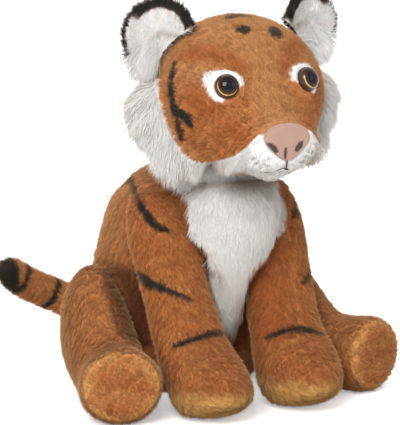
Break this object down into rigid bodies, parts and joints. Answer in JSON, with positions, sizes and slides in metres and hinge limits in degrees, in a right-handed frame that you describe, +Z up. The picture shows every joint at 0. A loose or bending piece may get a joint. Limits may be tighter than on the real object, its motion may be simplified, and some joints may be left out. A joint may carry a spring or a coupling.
{
  "type": "plush tiger",
  "caption": "Sitting plush tiger with long pile, upright ears, safety eyes, a white bib and ruffs, a curled tail, and sewn limbs and head that flex at their seams.",
  "frame": {"origin": "middle of the flat seat, on the surface that the tiger sits on", "axes": "+Z up, -Y the way that the tiger looks, +X its left side"},
  "size_m": [0.2264, 0.2457, 0.2533],
  "materials": {
    "orange_plush": "long soft pile",
    "gold_plush": "short pile",
    "white_plush": "long soft pile",
    "black_plush": "long soft pile",
    "pink_plush": "short velvet pile",
    "stuffing": "loose polyester fibre",
    "pellet_bag": "woven bag of pellets",
    "eye": "glossy, dark brown",
    "washer": "moulded, matte"
  },
  "bodies": {
    "torso": {"torso_skin": "orange_plush", "torso_stuffing": "stuffing", "pellet_bag": "pellet_bag", "chest_bib": "white_plush"},
    "neck": {"neck": "orange_plush"},
    "head": {"head_skin": "orange_plush", "head_stuffing": "stuffing", "muzzle": "white_plush", "nose": "pink_plush", "chin": "white_plush", "eye_left": "eye", "eye_washer_left": "washer", "eye_patch_left": "white_plush", "cheek_ruff_left": "white_plush", "eye_right": "eye", "eye_washer_right": "washer", "eye_patch_right": "white_plush", "cheek_ruff_right": "white_plush"},
    "tail": {"tail": "orange_plush"},
    "ear_left": {"ear_back_left": "black_plush", "ear_lining_left": "white_plush"},
    "front_leg_left": {"front_leg_left": "orange_plush", "front_sole_left": "gold_plush"},
    "hind_leg_left": {"hind_leg_left": "orange_plush", "hind_sole_left": "gold_plush"},
    "ear_right": {"ear_back_right": "black_plush", "ear_lining_right": "white_plush"},
    "front_leg_right": {"front_leg_right": "orange_plush", "front_sole_right": "gold_plush"},
    "hind_leg_right": {"hind_leg_right": "orange_plush", "hind_sole_right": "gold_plush"}
  },
  "joints": [
    {"name": "neck_turn", "type": "hinge", "parent": "torso", "child": "neck", "pos_m": [0, -0.0429, 0.15007], "axis": [0, 0, 1], "range_deg": [-25, 25], "stiffness_Nm_per_rad": 0.3},
    {"name": "neck_nod", "type": "hinge", "parent": "neck", "child": "head", "pos_m": [0, -0.0429, 0.15007], "axis": [1, 0, 0], "range_deg": [-12, 10], "stiffness_Nm_per_rad": 0.9},
    {"name": "tail_swing", "type": "hinge", "parent": "torso", "child": "tail", "pos_m": [0, 0.0495, 0.02812], "axis": [0, 0, 1], "range_deg": [-12, 16], "stiffness_Nm_per_rad": 0.05},
    {"name": "front_leg_left_swing", "type": "hinge", "parent": "torso", "child": "front_leg_left", "pos_m": [0.03828, -0.0451, 0.11204], "axis": [-1, 0, 0], "range_deg": [0, 12], "stiffness_Nm_per_rad": 0.3},
    {"name": "hind_leg_left_splay", "type": "hinge", "parent": "torso", "child": "hind_leg_left", "pos_m": [0.04002, 0, 0.02394], "axis": [0, 0, 1], "range_deg": [0, 14], "stiffness_Nm_per_rad": 0.3},
    {"name": "ear_left_fold", "type": "hinge", "parent": "head", "child": "ear_left", "pos_m": [0.04757, -0.07146, 0.21942], "axis": [0.8937, 0.2395, -0.3794], "range_deg": [-15, 16], "stiffness_Nm_per_rad": 0.01},
    {"name": "front_leg_right_swing", "type": "hinge", "parent": "torso", "child": "front_leg_right", "pos_m": [-0.03828, -0.0451, 0.11204], "axis": [-1, 0, 0], "range_deg": [0, 12], "stiffness_Nm_per_rad": 0.3},
    {"name": "hind_leg_right_splay", "type": "hinge", "parent": "torso", "child": "hind_leg_right", "pos_m": [-0.04002, 0, 0.02394], "axis": [0, 0, -1], "range_deg": [0, 14], "stiffness_Nm_per_rad": 0.3},
    {"name": "ear_right_fold", "type": "hinge", "parent": "head", "child": "ear_right", "pos_m": [-0.04757, -0.07146, 0.21942], "axis": [-0.8937, 0.2395, -0.3794], "range_deg": [-15, 16], "stiffness_Nm_per_rad": 0.01}
  ]
}
